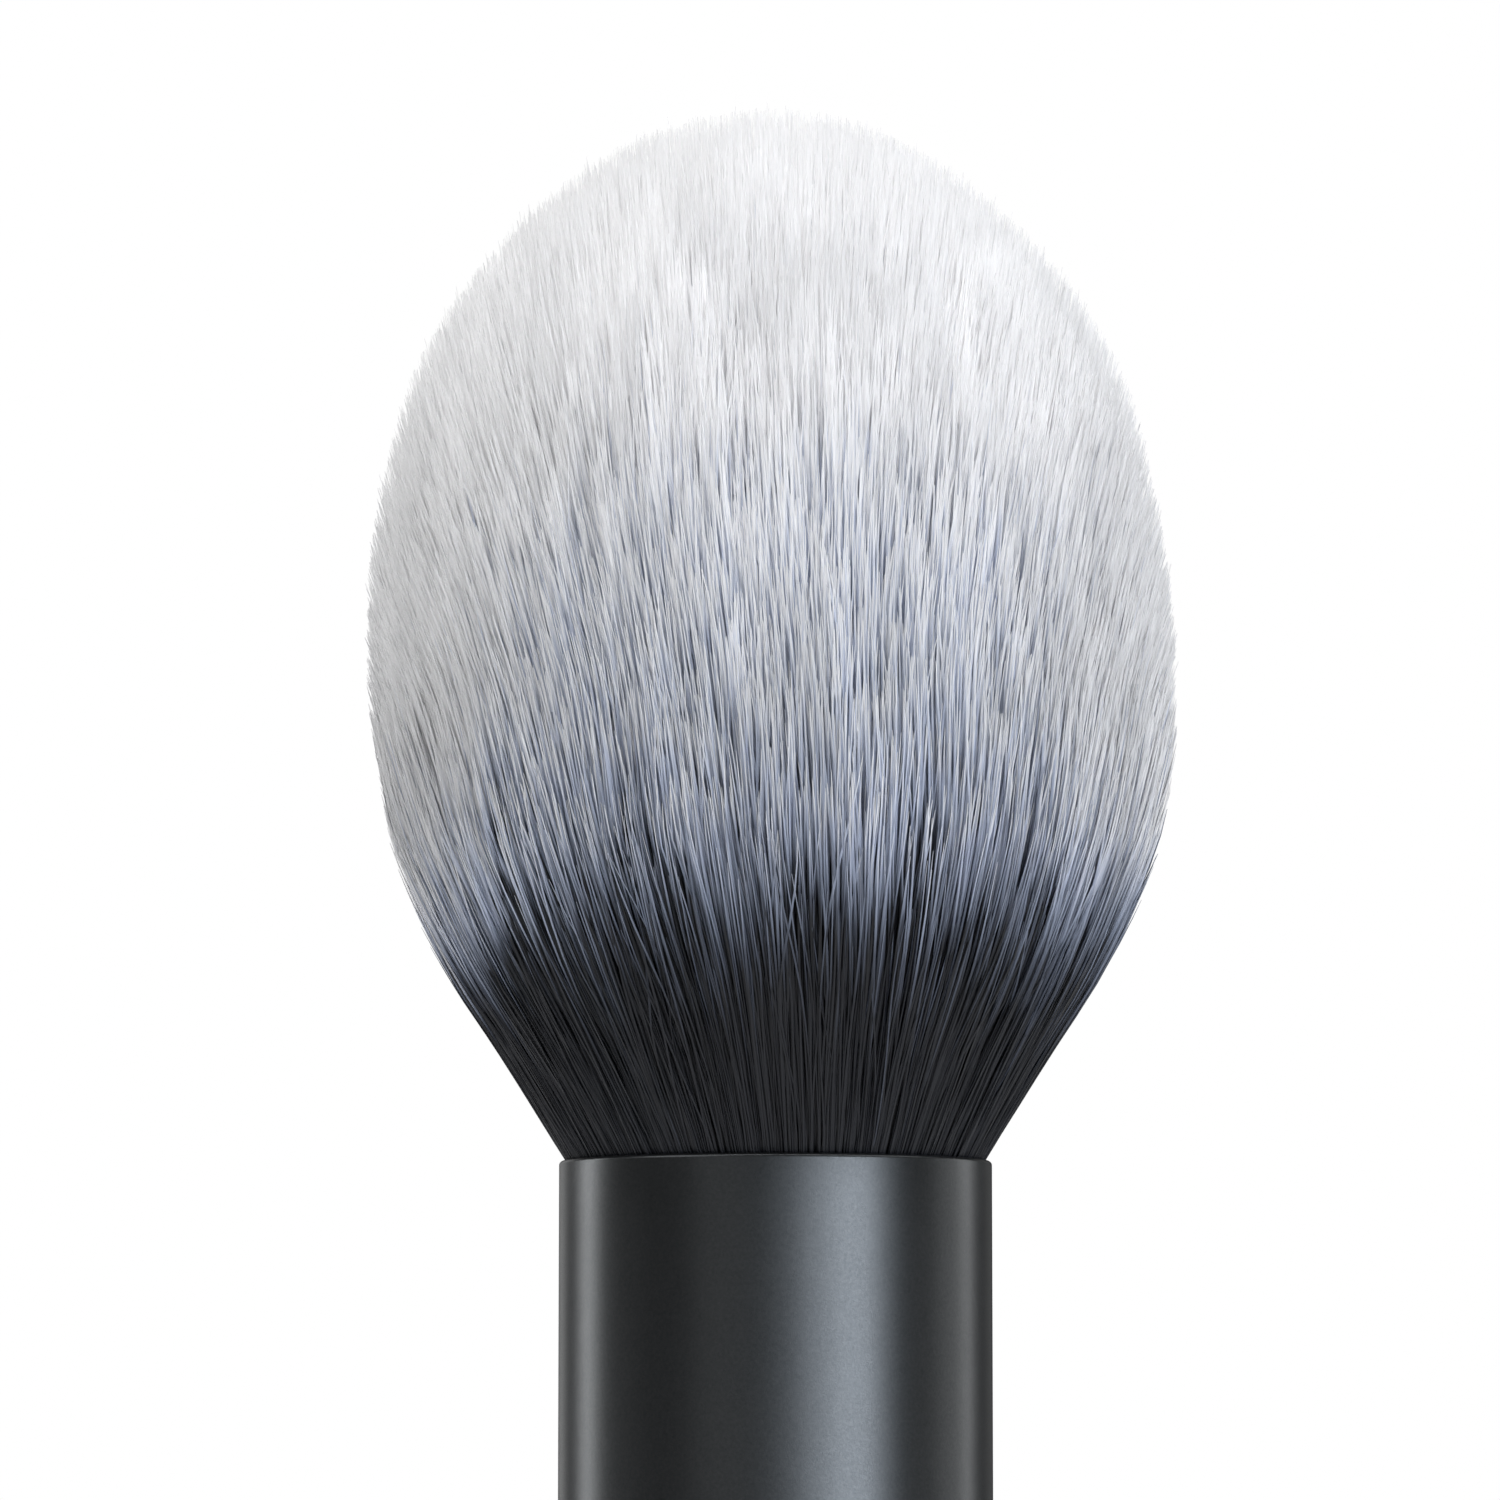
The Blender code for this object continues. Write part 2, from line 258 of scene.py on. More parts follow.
# ---------------------------------------------------------------- turned shells
def lathe(name, profile, mat, body, node, closed, steps=224):
    """A turned piece as one closed mesh. The profile is (radius, height), outer side first, top to bottom."""
    bm = bmesh.new()
    rings = []
    for r, z in profile:
        if r < 1e-7:
            rings.append([bm.verts.new((0.0, 0.0, z))])
        else:
            rings.append([
                bm.verts.new((r * math.cos(math.tau * k / steps), r * math.sin(math.tau * k / steps), z))
                for k in range(steps)])
    pairs = list(zip(rings, rings[1:])) + ([(rings[-1], rings[0])] if closed else [])
    for a, b in pairs:
        for k in range(steps):
            n = (k + 1) % steps
            corners = [a[k % len(a)], b[k % len(b)], b[n % len(b)], a[n % len(a)]]
            kept = [v for i, v in enumerate(corners) if v not in corners[:i]]
            if len(kept) > 2:
                bm.faces.new(kept)
    bmesh.ops.recalc_face_normals(bm, faces=bm.faces)
    mesh = bpy.data.meshes.new(name)
    bm.to_mesh(mesh)
    bm.free()
    mesh.shade_smooth()
    mesh.set_sharp_from_angle(angle=math.radians(34))
    mesh.materials.append(mat)
    obj = bpy.data.objects.new(name, mesh)
    bpy.context.scene.collection.objects.link(obj)
    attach(obj, body)
    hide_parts(node)
    return obj


def arc(centre_r, centre_z, radius, start, end, count):
    points = []
    for i in range(count + 1):
        a = math.radians(start + (end - start) * i / count)
        points.append((centre_r + radius * math.cos(a), centre_z + radius * math.sin(a)))
    return points


def smoothstep(t):
    t = min(1.0, max(0.0, t))
    return t * t * (3.0 - 2.0 * t)


def ferrule_radius(h):
    r = FERRULE_FOOT_R + (FERRULE_MOUTH_R - FERRULE_FOOT_R) * h / FERRULE_LENGTH
    for at in CRIMP_HEIGHTS:
        d = abs(h - at) / CRIMP_HALF_WIDTH
        if d < 1.0:
            r -= CRIMP_DEPTH * 0.5 * (1.0 + math.cos(math.pi * d))
    return r


half = FERRULE_WALL / 2
foot = 0.12 * MM
heights = [FERRULE_LENGTH - half]
heights += [FERRULE_LENGTH * (1 - i / 12) for i in range(1, 9)]
for at in sorted(CRIMP_HEIGHTS, reverse=True):
    heights += [at + CRIMP_HALF_WIDTH * (1 - i / 8) for i in range(17)]
heights.append(foot)
top_r = ferrule_radius(FERRULE_LENGTH)
lip = arc(top_r - half, MOUTH_Z - half, half, 90, 0, 7)
outer = lip + [(ferrule_radius(h), FERRULE_LOW_Z + h) for h in heights[1:]]
outer += arc(FERRULE_FOOT_R - foot, FERRULE_LOW_Z + foot, foot, 0, -90, 4)[1:]
inner = [(ferrule_radius(h) - FERRULE_WALL, FERRULE_LOW_Z + h) for h in reversed(heights[1:-1])]
inner = [(FERRULE_FOOT_R - FERRULE_WALL, FERRULE_LOW_Z)] + inner
inner += arc(top_r - half, MOUTH_Z - half, half, 180, 104, 5)
ferrule = lathe("ferrule_tube", outer + inner, METAL, "root", "ferrule", True)


def handle_radius(z):
    return HANDLE_BASE_R + (HANDLE_TOP_R - HANDLE_BASE_R) * smoothstep(z / SHOULDER_Z)


groove_z, groove_half, groove_deep = SHOULDER_Z - 3.0 * MM, 0.55 * MM, 0.35 * MM
profile = [
    (0.0, SHOULDER_Z + TENON_LENGTH),
    (TENON_R - 0.8 * MM, SHOULDER_Z + TENON_LENGTH),
    (TENON_R, SHOULDER_Z + TENON_LENGTH - 0.8 * MM),
    (TENON_R, SHOULDER_Z),
]
profile += arc(HANDLE_TOP_R - 0.3 * MM, SHOULDER_Z - 0.3 * MM, 0.3 * MM, 90, 0, 6)
for i in range(-8, 9):
    z = groove_z - groove_half * i / 8
    profile.append((handle_radius(z) - groove_deep * 0.5 * (1 + math.cos(math.pi * i / 8)), z))
low = groove_z - groove_half
for i in range(1, 41):
    z = low + (BASE_ROUND - low) * i / 40
    profile.append((handle_radius(z), z))
profile += arc(HANDLE_BASE_R - BASE_ROUND, BASE_ROUND, BASE_ROUND, 0, -90, 12)[1:]
profile += arc(SOCKET_R + 0.12 * MM, 0.12 * MM, 0.12 * MM, 270, 180, 3)
profile += [(SOCKET_R, SOCKET_DEPTH), (BORE_R, SOCKET_DEPTH), (BORE_R, BORE_DEPTH), (0.0, BORE_DEPTH + 0.9 * MM)]
handle = lathe("handle_shell", profile, LACQUER, "root", "handle", False)


# ---------------------------------------------------------------- hair
# How the bundle opens: the share by which it widens for each millimetre of height, and from that the radius that
# the outermost hair would reach at each height.
_h = np.linspace(-6.0, 62.0, 1361)
_rate = np.interp(_h, [0.0, 2.9, 4.9, 6.8, 8.7, 11.6, 14.4, 17.3, 20.2, 23.1, 35.0, 40.0, 45.0, 50.0, 62.0],
                  [0.057, 0.0505, 0.048, 0.046, 0.037, 0.029, 0.0242, 0.0214, 0.0192, 0.0178, 0.0172, 0.0150,
                   0.0135, 0.0110, 0.0090])
_log = np.concatenate([[0.0], np.cumsum((_rate[1:] + _rate[:-1]) / 2 * np.diff(_h))])
_log -= np.interp(0.0, _h, _log)
RIM_R, RIM_H = 10.05, -0.28
_spread = np.where(_h < RIM_H, RIM_R + 0.60 * RIM_H, np.where(_h < 0, RIM_R + 0.60 * _h, RIM_R * np.exp(_log)))

# How far the whole bundle is turned about its axis at each height, in radians.
_turn = np.interp(_h, [0, 3, 6, 12, 16, 20, 30, 36, 50], [0.010, 0.0085, 0.0064, 0.0058, 0.0033, 0.0027, 0.0019, 0.0003, 0])
_turn = np.where(_h < 0, 0.0, _turn)
_twist = -np.concatenate([[0.0], np.cumsum((_turn[1:] + _turn[:-1]) / 2 * np.diff(_h))])

# The head's outline: the flank of the opening bundle, then an egg.
_t = np.clip((_h - EGG_MID) / EGG_HALF, -1.0, 1.0)
_egg = EGG_R * np.sqrt(1.0 - _t * _t) + 0.42 * np.exp(-((_h - 38.5) / 4.2) ** 2)
_outline = np.where(_h < 9.0, _spread, np.minimum(_spread, _egg))


def spread(h):
    return np.interp(h, _h, _spread)


def outline(h):
    return np.interp(h, _h, _outline)


def lattice(points, cell, seed):
    """Smooth value noise of 3-D points, about -1 to 1, with features of about one cell."""
    rng = np.random.default_rng(seed)
    table = rng.uniform(-1, 1, 4096)
    p = points / np.asarray(cell) + 211.3
    i = np.floor(p).astype(np.int64)
    f = p - i
    f = f * f * (3 - 2 * f)
    total = np.zeros(points.shape[:-1])
    for corner in range(8):
        o = np.array([corner & 1, corner >> 1 & 1, corner >> 2 & 1])
        q = i + o
        key = (q[..., 0] * 73856093 ^ q[..., 1] * 19349663 ^ q[..., 2] * 83492791) & 4095
        w = np.prod(np.where(o, f, 1 - f), axis=-1)
        total += w * table[key]
    return total


def grow_hair(count):
    """Centre lines, radii and the numbers that the hair's finish reads, for every hair."""
    rng = np.random.default_rng(41)
    size = np.sqrt(rng.random(count)) * 0.997
    start = rng.uniform(-math.pi, math.pi, count)
    place = 14.0 * np.stack([size * np.cos(start), size * np.sin(start)], 1)

    # each hair's own line: two long waves and a lean, stronger in a few strays
    length = rng.uniform(14.0, 34.0, (2, count, 1))
    phase = rng.uniform(0, math.tau, (2, 2, count, 1))
    amount = rng.normal(0.0, 0.13, (2, 2, count, 1))
    lean = rng.normal(0.0, 0.033, (count, 2))
    stray = rng.random(count) < 0.10
    lean[stray] += rng.normal(0.0, 0.065, (int(stray.sum()), 2))
    amount[:, :, stray] *= 1.8

    def line(h):
        """The hairs' places at the heights h, one row a hair."""
        base = spread(h)
        angle = start[:, None] + np.interp(h, _h, _twist)
        r = size[:, None] * base
        p = np.stack([r * np.cos(angle), r * np.sin(angle), h], axis=2)
        # neighbours gather into locks and part again, at four sizes
        own = np.stack([place[:, :1] + 0 * h, place[:, 1:] + 0 * h, h], axis=2)
        for across, along, much, low, seed in (
                (3.0, 26.0, 0.38, 0.0, 1), (1.1, 16.0, 0.28, 2.0, 3), (0.50, 12.0, 0.15, 6.0, 5), (0.24, 9.0, 0.060, 8.0, 7)):
            cell = (across, across, along)
            wave = np.stack([lattice(own, cell, seed), lattice(own, cell, seed + 1)], -1)
            p[..., :2] += wave * (much * np.clip((h - low) / 10.0, 0.0, 1.0) * base / 14.0)[..., None]
        free = np.clip((h - RIM_H) / 8.0, 0.0, 1.0)
        for j in range(2):
            for k in range(2):
                p[..., k] += free * amount[j, k] * (np.sin(math.tau * h / length[j] + phase[j, k]) - np.sin(phase[j, k]))
        p[..., :2] += lean[:, None, :] * np.clip(h, 0, None)[..., None]
        # inside the mouth below, and no further out than the flank just above it
        r = np.maximum(np.linalg.norm(p[..., :2], axis=2), 1e-6)
        room = np.interp(h, [0, 2, 6, 10, 15, 22], [0.0, 0.07, 0.16, 0.40, 1.4, 6.0]) + 1e-4
        past = np.clip(r - base + room, 0.0, None)
        kept = r - past + 2 * room * (1.0 - np.exp(-past / (2 * room)))
        p[..., :2] *= np.where(past > 0, kept / r, 1.0)[..., None]
        return p

    # a hair ends where its line meets the head's outline
    table_h = np.linspace(9.0, EGG_MID + EGG_HALF - 0.02, 1200)
    ratio = np.minimum.accumulate(np.minimum(outline(table_h) / spread(table_h), 1.0))
    ratio -= np.linspace(0.0, 1e-4, ratio.size)
    tip_h = np.interp(size, ratio[::-1], table_h[::-1])
    look = np.minimum(np.maximum(tip_h[:, None] + np.linspace(-18.0, 2.0, 21)[None, :], 9.5), EGG_MID + EGG_HALF - 0.05)
    q = line(look)
    over = np.linalg.norm(q[..., :2], axis=2) - outline(look) - np.interp(look, [9.5, 16.0], [0.45, 0.10])
    out = over > 0
    first = np.where(out.any(axis=1), out.argmax(axis=1), look.shape[1] - 1)
    before = np.maximum(first - 1, 0)
    row = np.arange(count)
    a, b = over[row, before], over[row, first]
    part = np.clip(-a / np.where(b - a == 0, 1e-9, b - a), 0.0, 1.0)
    tip_h = look[row, before] + part * (look[row, first] - look[row, before])

    # cut lengths: most hairs reach the outline, some stop short of it, a few stand proud; the left and right flanks
    # are the smoothest. Both flanks, the left most, are painted pale further down: painted glow of light from behind
    # shining through the head's edge, on the flanks partly also their pale outer hairs
    flank = np.clip((np.abs(np.cos(start)) - 0.72) / 0.18, 0.0, 1.0)
    left = np.clip((-np.cos(start) - np.interp(tip_h, [14.0, 22.0, 32.0], [0.54, 0.50, 0.40])) / 0.24, 0.0, 1.0)
    short = rng.random(count)
    near_tip = line((tip_h - 3.0)[:, None])[:, 0]
    turn = np.arctan2(near_tip[:, 1], near_tip[:, 0])
    patch = np.stack([19 * np.cos(turn), 19 * np.sin(turn), tip_h], 1)
    trim = np.abs(rng.normal(0.0, 0.22, count))
    high = np.interp(tip_h, [28.0, 42.0], [1.0, 0.36]) * (1.0 - 0.55 * np.maximum(flank, left))
    trim += 2.4 * high * np.clip(lattice(patch, (2.8, 2.8, 7.0), 61) - 0.05, 0.0, None)
    trim += 3.0 * high * np.clip(lattice(patch, (0.9, 0.9, 5.0), 63) - 0.15, 0.0, None)
    trim += high * np.where(short < 0.34, rng.exponential(1.7, count), 0.0)
    trim += high * np.where(short > 0.90, rng.uniform(1.0, 11.0, count), 0.0)
    # the outermost hairs are often short, with pale ends over the dark ones, most on the flanks
    outer = (size > 0.955) & (rng.random(count) < 0.35 + 0.35 * flank)
    trim += np.where(outer, rng.exponential(4.0, count), 0.0)
    proud = np.where(rng.random(count) < 0.10, np.minimum(rng.exponential(0.20, count), 0.45), 0.0)
    tip_h = tip_h - trim * np.clip((tip_h - 6) / 16, 0.25, 1) + proud
    tip_h = np.maximum(tip_h, 7.5)

    # rings: two inside the mouth, one just above it, the rest closer together towards the tip
    step = (np.arange(RINGS - 4, -1, -1) / (RINGS - 3)) ** 1.15
    reach = np.minimum(tip_h - 0.9, 22.0)[:, None]
    h = np.concatenate([
        np.full((count, 1), -1.6), np.full((count, 1), RIM_H), np.full((count, 1), 0.9),
        tip_h[:, None] - reach * step[None, :]], axis=1)
    to_tip = tip_h[:, None] - h
    p = line(h)
    # the head as a whole leans a very little to one side
    t = np.clip((h - 17.0) / 14.0, 0.0, 1.0)
    p[..., 0] -= 0.36 * t * t * (3 - 2 * t)

    # thickness: level along most of the hair, drawn out to a fine tip
    thick = rng.uniform(0.053, 0.078, count)[:, None]
    radius = thick * (0.18 + 0.82 * np.clip(to_tip / 5.0, 0.0, 1.0) ** 0.75)
    radius *= np.interp(h, [-0.5, 5.0, 12.0, 24.0, 36.0, 50.0], [0.66, 0.76, 1.04, 1.26, 1.18, 1.12])

    # where the dye stops on each hair: by patches, by locks, and never close to the tip; lower on the flanks, lowest on
    # the left, as painted glow
    at_dye = line(np.full((count, 1), 12.5))[:, 0]
    turn = np.arctan2(at_dye[:, 1], at_dye[:, 0])
    q = np.stack([np.cos(turn) * 15.5, np.sin(turn) * 15.5, np.linalg.norm(at_dye[:, :2], axis=1) * 0.15], 1)
    dye_and_glow_line = 12.5 + 1.7 * lattice(q, 3.2, 21) + 2.6 * lattice(q, 1.4, 22) + 1.8 * lattice(q, 0.6, 23)
    # painted glow: the colour line sits lower on the flanks and lowest on the left, so those hairs are painted pale
    # further down where light from behind shines through
    dye_and_glow_line += np.interp(size, [0.80, 0.93, 0.97, 0.997], [0.9, 0.4, 0.0, -0.5]) - 1.8 * flank - 1.6 * left
    dye_and_glow_line += rng.normal(0, 0.30, count)
    early = rng.random(count) < 0.12
    dye_and_glow_line -= np.where(early, rng.uniform(0.5, 4.0, count), 0.0)
    # the lowest colour line and the pale length also shift with the flanks: the same painted glow
    lowest = 9.9 + 1.2 * lattice(q, 1.3, 24) + rng.normal(0, 0.4, count) - 0.8 * flank
    dye_and_glow_line = np.where(dye_and_glow_line < lowest, lowest + 0.25 * (dye_and_glow_line - lowest), dye_and_glow_line)
    pale_length = np.interp(tip_h, [32.0, 45.0], [10.0, 18.0]) + 2.5 * flank
    pale_length += 1.8 * lattice(patch, (1.4, 1.4, 6.0), 71) + rng.normal(0, 1.0, count)
    dye_and_glow_line = np.maximum(dye_and_glow_line, tip_h - pale_length)
    dye_and_glow_line = np.minimum(dye_and_glow_line, tip_h - rng.uniform(2.6, 6.0, count) - 1.5 * outer)
    dye_and_glow_line = np.maximum(dye_and_glow_line, lowest - 1.2)
    # most hairs change colour within a few millimetres, the early ones more slowly
    pace = np.where(early & ~outer, rng.uniform(0.25, 0.6, count), rng.uniform(0.9, 1.5, count))
    pace *= np.clip((dye_and_glow_line - 6.5) / 5.5, 0.35, 1.0)
    # painted glow: on the left the hairs also turn pale faster
    pace *= np.interp(tip_h, [32.0, 45.0], [1.0, 2.4]) * (1.0 + 1.5 * left)
    # locks differ a little in brightness, and the tone also carries painted shade: darker on the crown, and grey hairs
    # painted as shadow slivers
    tone_and_painted_shade = 0.62 * lattice(near_tip, (1.2, 1.2, 6.0), 51) + 0.50 * lattice(near_tip, (3.0, 3.0, 9.0), 52)
    tone_and_painted_shade += 0.24 * lattice(near_tip, (0.30, 0.30, 4.0), 53) + rng.normal(0, 0.04, count)
    # painted shade: hairs that end high in the crown get a darker tone, painting the top darker where the top light
    # falls strongest; on the left the tone varies less, to keep the painted glow there smooth
    crown = np.interp(tip_h, [38.0, 48.0], [0.0, 1.0])
    tone_and_painted_shade = np.clip(0.58 - 0.36 * crown + tone_and_painted_shade * (1.0 - 0.5 * crown) * (1.0 - 0.45 * left), 0, 1)
    tone_and_painted_shade = 0.36 + 0.64 * tone_and_painted_shade
    # painted shadow: a few hairs are painted grey to stand for thin slivers of shadow between hairs, fewer on the left
    painted_shadow_slivers = rng.random(count) < 0.07 - 0.045 * left
    tone_and_painted_shade[painted_shadow_slivers] = rng.uniform(0.0, 0.25, int(painted_shadow_slivers.sum()))
    # the end of a hair is white for some millimetres, fewer low on the head and more on its flanks; the longer white
    # ends on the flanks are partly painted glow of light from behind
    ends = to_tip * np.interp(tip_h, [26.0, 36.0], [1.8, 1.0])[:, None] ** (1.0 - 1.6 * flank)[:, None]
    return p, radius, (h - dye_and_glow_line[:, None]) * pace[:, None], ends, np.repeat(tone_and_painted_shade[:, None], RINGS, 1), start


def tube_mesh(name, centre, radius, numbers, sides=3, seed=0):
    """Closed tapering tubes, one for each hair, in one mesh."""
    n, rings = centre.shape[:2]
    rng = np.random.default_rng(seed)
    along = np.empty_like(centre)
    along[:, 1:-1] = centre[:, 2:] - centre[:, :-2]
    along[:, 0] = centre[:, 1] - centre[:, 0]
    along[:, -1] = centre[:, -1] - centre[:, -2]
    along /= np.linalg.norm(along, axis=2, keepdims=True)
    side = np.zeros_like(along)
    side[..., 0], side[..., 1] = 1.0, 0.3
    side -= (side * along).sum(2, keepdims=True) * along
    side /= np.linalg.norm(side, axis=2, keepdims=True)
    other = np.cross(along, side)
    start = rng.uniform(0, math.tau, n)
    around = np.empty((n, rings, sides, 3))
    for k in range(sides):
        a = start + math.tau * k / sides
        around[:, :, k] = np.cos(a)[:, None, None] * side + np.sin(a)[:, None, None] * other
    verts = centre[:, :, None] + radius[..., None, None] * around
    verts = verts.reshape(-1, 3).astype(np.float32) * MM
    verts[:, 2] += MOUTH_Z

    # Fine hair packed close shades as one soft body: each hair's normals lean towards the head's own outward side,
    # most where they face it already.
    h = centre[..., 2]
    rise = (outline(h + 0.5) - outline(h - 0.5)) / 1.0
    angle = np.arctan2(centre[..., 1], centre[..., 0])
    away = np.stack([np.cos(angle), np.sin(angle), -rise], -1)
    away[..., 2] = np.clip(away[..., 2], -0.65, 4.0)
    away /= np.linalg.norm(away, axis=2, keepdims=True)
    # in the crown the nearest way out is up, and more so closer to the axis
    up = np.stack([centre[..., 0] / EGG_R ** 2, centre[..., 1] / EGG_R ** 2, (h - EGG_MID) / EGG_HALF ** 2], -1)
    up /= np.linalg.norm(up, axis=2, keepdims=True) + 1e-9
    high = np.interp(h, [27.0, 36.0], [0.0, 1.0])[..., None]
    away = away * (1.0 - high) + up * high
    away /= np.linalg.norm(away, axis=2, keepdims=True)
    away = np.repeat(away[:, :, None], sides, 2)
    facing = (around * away).sum(3, keepdims=True)
    share = np.interp(facing, [-1.0, -0.3, 0.0, 0.5, 0.9, 1.0], [0.34, 0.38, 0.48, 0.60, 0.92, 0.96])
    packed = np.interp(h, [8.0, 16.0, 32.0, 44.0], [0.55, 1.0, 1.0, 0.0])[:, :, None, None]
    share += packed * np.interp(facing, [-0.3, 0.0, 0.5, 0.9], [0.0, 0.06, 0.16, 0.02])
    normals = around * (1 - share) + away * share
    normals /= np.linalg.norm(normals, axis=3, keepdims=True)
    # and at the two ends they still face out of the end
    for ring, sign in ((0, -1.0), (-1, 1.0)):
        end = sign * along[:, ring][:, None]
        normals[:, ring] += np.clip(0.06 - (normals[:, ring] * end).sum(2, keepdims=True), 0.0, None) * end
    normals /= np.linalg.norm(normals, axis=3, keepdims=True)

    base = (np.arange(n) * rings * sides)[:, None, None]
    i = np.arange(rings - 1)[None, :, None] * sides
    k = np.arange(sides)[None, None, :]
    nk = (k + 1) % sides
    quads = np.stack([base + i + k, base + i + nk, base + i + sides + nk, base + i + sides + k], -1)
    quads = quads.reshape(-1, 4)
    first = np.stack([base[:, 0, 0] + j for j in reversed(range(sides))], 1)
    last = np.stack([base[:, 0, 0] + (rings - 1) * sides + j for j in range(sides)], 1)
    caps = np.concatenate([first, last])

    mesh = bpy.data.meshes.new(name)
    mesh.vertices.add(len(verts))
    mesh.vertices.foreach_set("co", verts.ravel())
    loops = np.concatenate([quads.ravel(), caps.ravel()]).astype(np.int32)
    mesh.loops.add(len(loops))
    mesh.loops.foreach_set("vertex_index", loops)
    counts = np.concatenate([np.full(len(quads), 4), np.full(len(caps), sides)]).astype(np.int32)
    starts = np.concatenate([[0], np.cumsum(counts)[:-1]]).astype(np.int32)
    mesh.polygons.add(len(counts))
    mesh.polygons.foreach_set("loop_start", starts)
    mesh.update(calc_edges=True)
    mesh.shade_smooth()
    if SOFT_NORMALS:
        mesh.normals_split_custom_set_from_vertices(normals.reshape(-1, 3))

    # a map with one upright cell a hair, the sides laid over each other, for the colours that vary along it
    rows = max(1, int(round(math.sqrt(n / 4.5))))
    columns = -(-n // rows)
    cell = np.arange(n)
    across = np.array([0.14, 0.86, 0.50])[np.arange(sides) % 3]
    up = 0.07 + 0.86 * (np.arange(rings)[:, None] + np.zeros(sides)) / (rings - 1)
    up[0, -1] += 0.03
    up[-1, -1] -= 0.03
    place = np.empty((n, rings, sides, 2), np.float32)
    place[..., 0] = ((cell % columns)[:, None, None] + across) / columns
    place[..., 1] = ((cell // columns)[:, None, None] + up) / rows
    layer = mesh.uv_layers.new(name="OFBake", do_init=False)
    layer.uv.foreach_set("vector", place.reshape(-1, 2)[loops].ravel())
    for key, values in numbers.items():
        attribute = mesh.attributes.new(key, "FLOAT", "POINT")
        attribute.data.foreach_set("value", np.repeat(values[..., None], sides, 2).astype(np.float32).ravel())
    return mesh


centre, radius, above, to_tip, tone_and_painted_shade, angle = grow_hair(HAIRS)
sector = np.floor((angle + math.pi) / math.tau * SECTORS).astype(int) % SECTORS
for n in range(SECTORS):
    mine = sector == n
    name = f"tuft_hair_{n + 1:02d}"
    mesh = tube_mesh(name, centre[mine], radius[mine],
                     {"above_dye": above[mine], "to_tip": to_tip[mine], "tone_and_painted_shade": tone_and_painted_shade[mine]}, seed=100 + n)
    mesh.materials.append(HAIR)
    obj = bpy.data.objects.new(name, mesh)
    bpy.context.scene.collection.objects.link(obj)
    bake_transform(obj)
    if n == 0:
        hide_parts("tuft_head", "tuft_neck")


# ---------------------------------------------------------------- floor, light and camera
def stage_disc(name, radius, z, mat):
    bm = bmesh.new()
    bmesh.ops.create_circle(bm, cap_ends=True, segments=160, radius=radius)
    mesh = bpy.data.meshes.new(name)
    bm.to_mesh(mesh)
    bm.free()
    mesh.materials.append(mat)
    obj = bpy.data.objects.new(name, mesh)
    obj.location.z = z
    bpy.context.scene.collection.objects.link(obj)
    return obj


floor_mat, tree, bsdf = new_material("pale_floor")
bsdf.inputs["Base Color"].default_value = (0.86, 0.86, 0.86, 1)
bsdf.inputs["Roughness"].default_value = 0.75
bsdf.inputs["Specular IOR Level"].default_value = 0.2
stage_disc("studio_floor", 0.62, -0.0002, floor_mat)


def area(name, azimuth, elevation, distance, width, height, radiance, colour, target=(0, 0, 0.12)):
    """A soft box that faces the target. Azimuth is from the camera's side, to its right."""
    a, e = math.radians(azimuth), math.radians(elevation)
    away = Vector((math.sin(a) * math.cos(e), -math.cos(a) * math.cos(e), math.sin(e)))
    light = bpy.data.lights.new(name, "AREA")
    light.shape = "RECTANGLE"
    light.size, light.size_y = width, height
    light.energy = radiance * math.pi * width * height
    light.color = colour
    obj = bpy.data.objects.new(name, light)
    obj.location = Vector(target) + away * distance
    obj.rotation_euler = away.to_track_quat("Z", "Y").to_euler()
    obj.visible_camera = False
    bpy.context.scene.collection.objects.link(obj)
    return obj


# The key light is a wide low soft box, brightest to one side of its middle, so it is built in upright slices.
COOL, NEUTRAL = (0.900, 0.965, 1.050), (1.0, 1.0, 1.0)
for n, (azimuth, width, radiance) in enumerate((
        (-8, 0.25, 0.36), (6, 0.25, 1.27), (20, 0.25, 4.3), (34, 0.25, 7.5), (47, 0.25, 8.1), (59, 0.20, 2.1))):
    area(f"key_{n + 1}", azimuth, 3.5, 1.10, width, 0.24, radiance, COOL)
area("fill_left", -30, 8, 1.25, 0.60, 0.50, 0.32, NEUTRAL)
area("top", 0, 80, 0.95, 0.95, 0.95, 3.45, NEUTRAL)
area("high_left", -62, 36, 1.10, 0.80, 0.50, 1.45, NEUTRAL)
area("high_right", 75, 48, 1.10, 0.80, 0.50, 1.35, NEUTRAL)
area("strip_left", -118.8, 10, 1.10, 0.26, 0.50, 4.35, NEUTRAL)
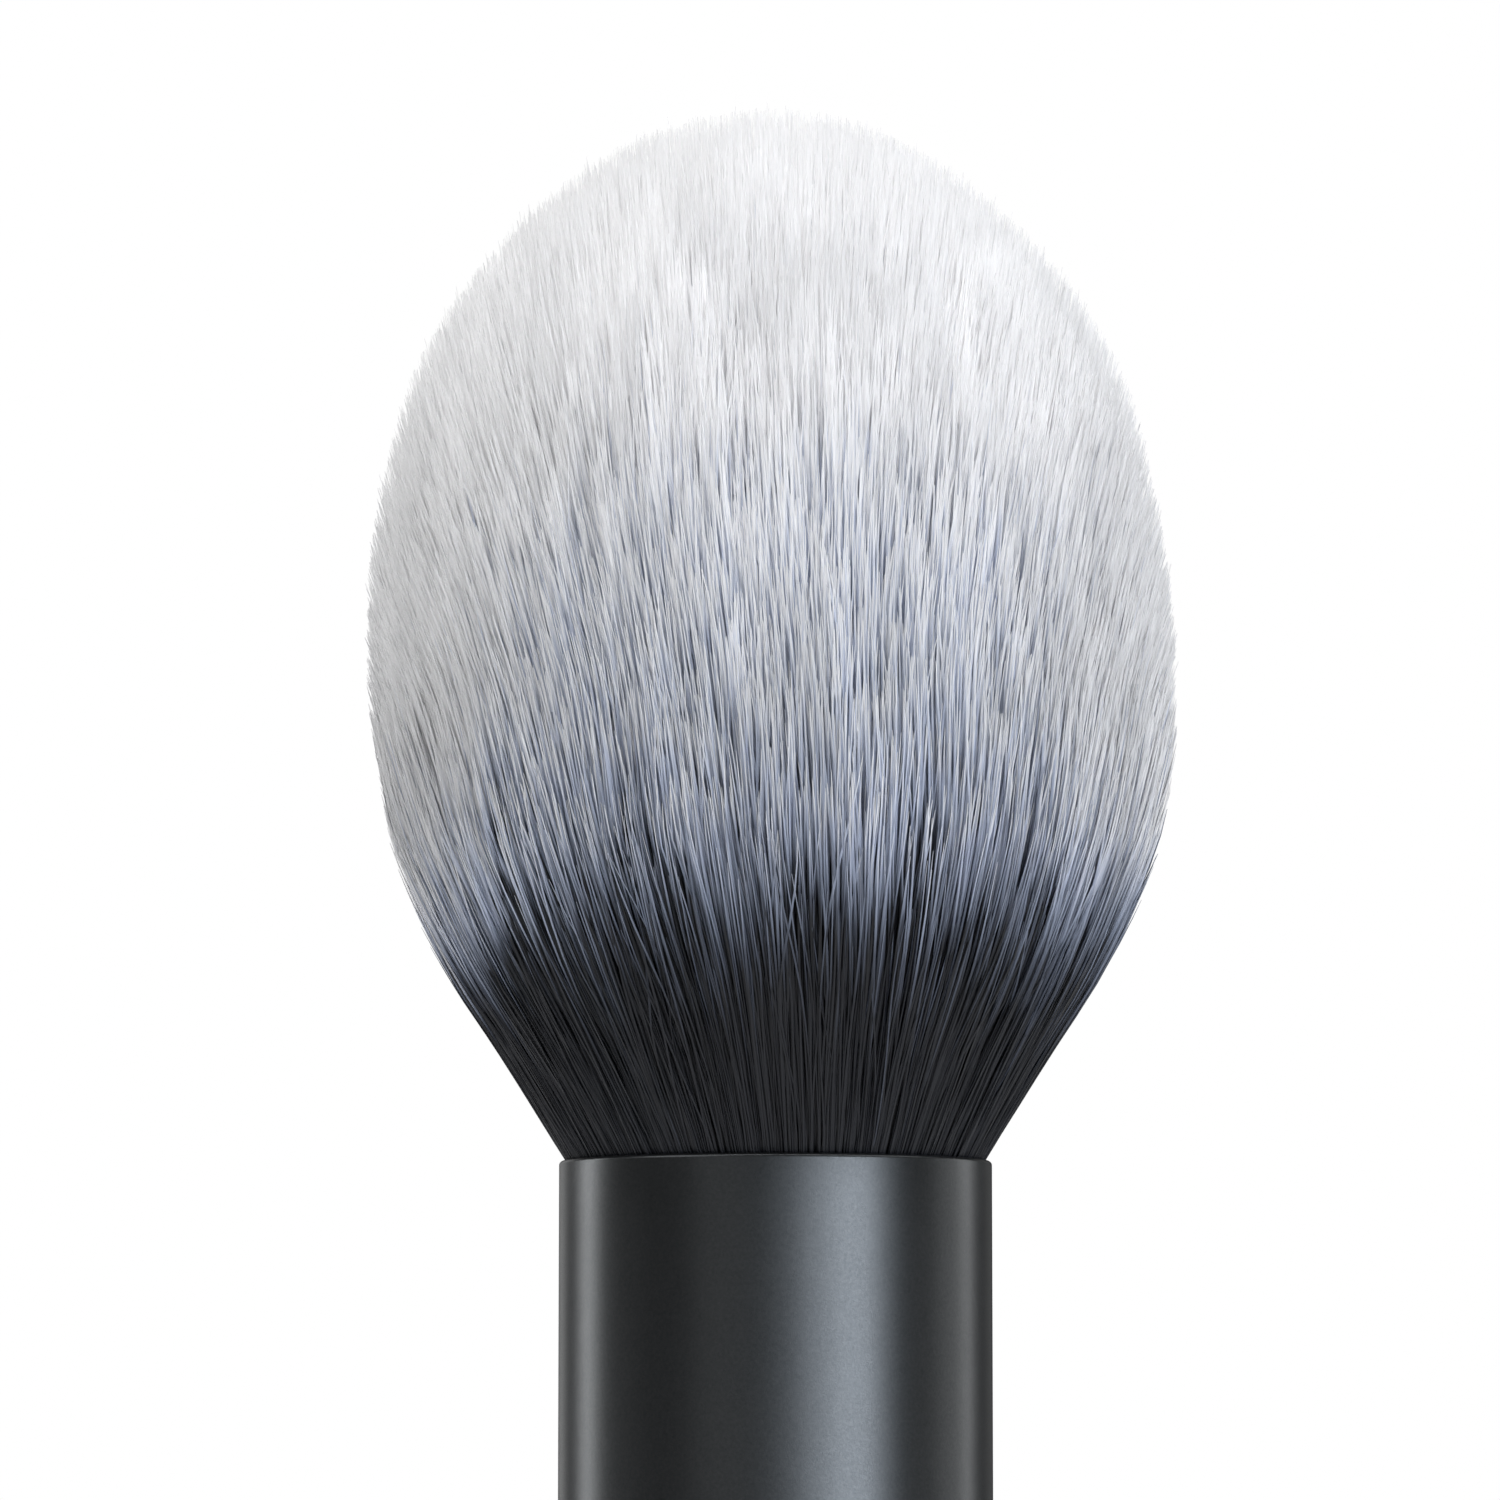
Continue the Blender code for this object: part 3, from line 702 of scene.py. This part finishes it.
area("strip_right", 122, 10, 1.10, 0.20, 0.50, 2.65, NEUTRAL)
area("side_right", 104, 10, 1.10, 0.34, 0.50, 0.68, NEUTRAL)
area("back_left", -157, 10, 1.20, 0.40, 0.60, 0.60, NEUTRAL)
area("back_right", 157, 10, 1.20, 0.40, 0.60, 0.15, NEUTRAL)
area("low_left", -95, -4, 1.00, 0.70, 0.12, 0.38, NEUTRAL)
area("low_right", 95, -4, 1.00, 0.70, 0.12, 0.48, NEUTRAL)

world = bpy.data.worlds.new("studio")
bpy.context.scene.world = world
world.use_nodes = True
tree = world.node_tree
tree.nodes.clear()
out = add(tree, "ShaderNodeOutputWorld")
seen = add(tree, "ShaderNodeBackground")
seen.inputs["Color"].default_value = (1, 1, 1, 1)
seen.inputs["Strength"].default_value = 1.0
lit = add(tree, "ShaderNodeBackground")
lit.inputs["Color"].default_value = (0.93, 0.96, 1, 1)
lit.inputs["Strength"].default_value = 0.012
path = add(tree, "ShaderNodeLightPath")
join = add(tree, "ShaderNodeMixShader")
tree.links.new(path.outputs["Is Camera Ray"], join.inputs[0])
tree.links.new(lit.outputs[0], join.inputs[1])
tree.links.new(seen.outputs[0], join.inputs[2])
tree.links.new(join.outputs[0], out.inputs["Surface"])

PIXEL = 0.048 * MM          # at the brush's axis, in the 1500-pixel frame
DISTANCE, LOOK_UP = 1.2, math.radians(3.3)
aim = Vector((-25.5 * PIXEL, 0.0, MOUTH_Z + 411.5 * PIXEL))
camera = bpy.data.cameras.new("camera")
camera.sensor_width = 36.0
camera.lens = 36.0 * DISTANCE / (1500 * PIXEL)
camera.clip_start, camera.clip_end = 0.05, 20.0
camera_object = bpy.data.objects.new("camera", camera)
camera_object.location = aim + Vector((0, -math.cos(LOOK_UP), -math.sin(LOOK_UP))) * DISTANCE
camera_object.rotation_euler = (math.pi / 2 + LOOK_UP, 0, 0)
bpy.context.scene.collection.objects.link(camera_object)
bpy.context.scene.camera = camera_object

view = bpy.context.scene.view_settings
view.view_transform = "Standard"
view.look = "None"
